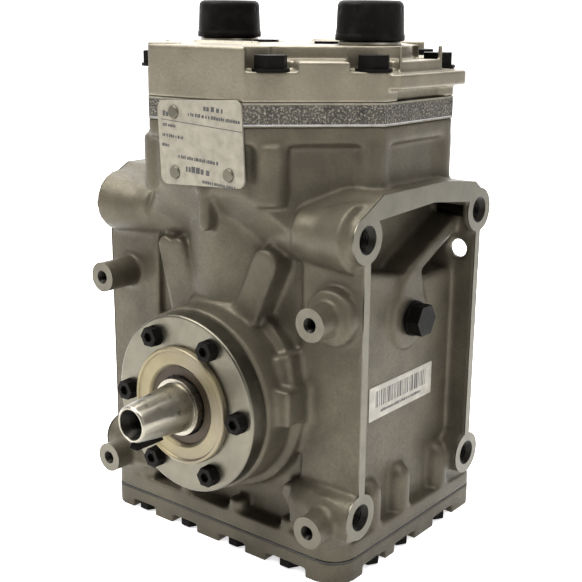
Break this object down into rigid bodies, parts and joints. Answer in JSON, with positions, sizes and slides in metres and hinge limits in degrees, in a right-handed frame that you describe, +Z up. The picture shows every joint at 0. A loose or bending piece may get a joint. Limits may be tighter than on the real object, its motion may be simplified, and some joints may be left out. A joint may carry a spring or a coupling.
{
  "type": "automotive ac compressor",
  "caption": "Two-cylinder upright piston refrigerant compressor with tapered shaft nose, octagonal head, capped ports, finned base edge and bolt frames on both sides.",
  "frame": {"origin": "on the plane of the base plate's feet, below the middle of the cylinder block and on the shaft's vertical plane", "axes": "+Z up along the cylinders; the shaft points to -Y; +X is the side with the label"},
  "size_m": [0.1472, 0.1749, 0.2433],
  "materials": {
    "cast_aluminium": "sand-cast, matte, warm grey",
    "head_casting": "die-cast, satin",
    "machined_aluminium": "turned, satin",
    "plate_steel": "dark, speckled edge",
    "liner_iron": "honed",
    "crank_steel": "ground",
    "bearing_steel": "polished",
    "black_steel": "black oxide",
    "zinc_yellow": "yellow zinc plate",
    "spring_steel": "blued strip",
    "gasket_fibre": "fibre sheet",
    "seal_rubber": "nitrile",
    "carbon": "carbon graphite",
    "cap_plastic": "moulded, semi-gloss",
    "fitting_metal": "turned",
    "plate_foil": "printed foil",
    "label_paper": "white label"
  },
  "bodies": {
    "housing": {"crankcase": "cast_aluminium", "cylinder_liners": "liner_iron", "base_plate": "cast_aluminium", "base_gasket": "gasket_fibre", "base_screws": "black_steel", "seal_plate": "machined_aluminium", "seal_plate_screws": "black_steel", "seal_plate_o_ring": "seal_rubber", "shaft_shield": "zinc_yellow", "seal_seat": "bearing_steel", "rear_cover": "cast_aluminium", "rear_cover_o_ring": "seal_rubber", "rear_cover_screws": "black_steel", "front_bearing_outer_race": "bearing_steel", "rear_bearing_outer_race": "bearing_steel", "valve_plate_gasket": "gasket_fibre", "suction_reeds": "spring_steel", "valve_plate": "plate_steel", "discharge_reeds": "spring_steel", "discharge_stops": "crank_steel", "discharge_stop_screws": "black_steel", "head_gasket": "gasket_fibre", "cylinder_head": "head_casting", "head_bolts": "black_steel", "port_fittings": "fitting_metal", "oil_plugs": "black_steel", "oil_plug_seals": "seal_rubber", "data_plate": "plate_foil", "plate_rivets": "machined_aluminium", "serial_label": "label_paper"},
    "crank": {"crankshaft": "crank_steel", "woodruff_key": "black_steel", "front_bearing_inner_race": "bearing_steel", "rear_bearing_inner_race": "bearing_steel", "seal_carbon_ring": "carbon", "seal_bellows": "seal_rubber", "seal_spring": "spring_steel"},
    "front_bearing_set": {"front_bearing_balls": "bearing_steel", "front_bearing_cage": "zinc_yellow"},
    "rear_bearing_set": {"rear_bearing_balls": "bearing_steel", "rear_bearing_cage": "zinc_yellow"},
    "piston_set_1": {"piston_1": "head_casting", "piston_rings_1": "liner_iron", "wrist_pin_1": "bearing_steel", "pin_clips_1": "spring_steel"},
    "rod_set_1": {"connecting_rod_1": "crank_steel", "crankpin_1": "crank_steel", "rod_cap_1": "crank_steel", "rod_screws_1": "black_steel"},
    "piston_set_2": {"piston_2": "head_casting", "piston_rings_2": "liner_iron", "wrist_pin_2": "bearing_steel", "pin_clips_2": "spring_steel"},
    "rod_set_2": {"connecting_rod_2": "crank_steel", "crankpin_2": "crank_steel", "rod_cap_2": "crank_steel", "rod_screws_2": "black_steel"},
    "left_cap": {"left_port_cap": "cap_plastic"},
    "right_cap": {"right_port_cap": "cap_plastic"}
  },
  "joints": [
    {"name": "crank_spin", "type": "hinge", "parent": "housing", "child": "crank", "pos_m": [0, 0, 0.0743], "axis": [0, -1, 0], "continuous": true},
    {"name": "front_bearing_spin", "type": "hinge", "parent": "housing", "child": "front_bearing_set", "pos_m": [0, -0.055, 0.0743], "axis": [0, -1, 0], "continuous": true},
    {"name": "rear_bearing_spin", "type": "hinge", "parent": "housing", "child": "rear_bearing_set", "pos_m": [0, 0.055, 0.0743], "axis": [0, -1, 0], "continuous": true},
    {"name": "piston_1_slide", "type": "slide", "parent": "housing", "child": "piston_set_1", "axis": [0, 0, 1], "range_m": [-0.0474, 0]},
    {"name": "piston_2_slide", "type": "slide", "parent": "housing", "child": "piston_set_2", "axis": [0, 0, 1], "range_m": [0, 0.0474]},
    {"name": "rod_1_swing", "type": "hinge", "parent": "piston_set_1", "child": "rod_set_1", "pos_m": [0, -0.0265, 0.175], "axis": [0, 1, 0], "range_deg": [-13, 13]},
    {"name": "rod_2_swing", "type": "hinge", "parent": "piston_set_2", "child": "rod_set_2", "pos_m": [0, 0.0265, 0.1276], "axis": [0, 1, 0], "range_deg": [-13, 13]},
    {"name": "left_cap_pull", "type": "slide", "parent": "housing", "child": "left_cap", "axis": [0, 0, 1], "range_m": [0, 0.03]},
    {"name": "right_cap_pull", "type": "slide", "parent": "housing", "child": "right_cap", "axis": [0, 0, 1], "range_m": [0, 0.03]}
  ],
  "couplings": [
    {"joint": "front_bearing_spin", "follows": "crank_spin", "ratio": 0.3987},
    {"joint": "rear_bearing_spin", "follows": "crank_spin", "ratio": 0.3987}
  ]
}
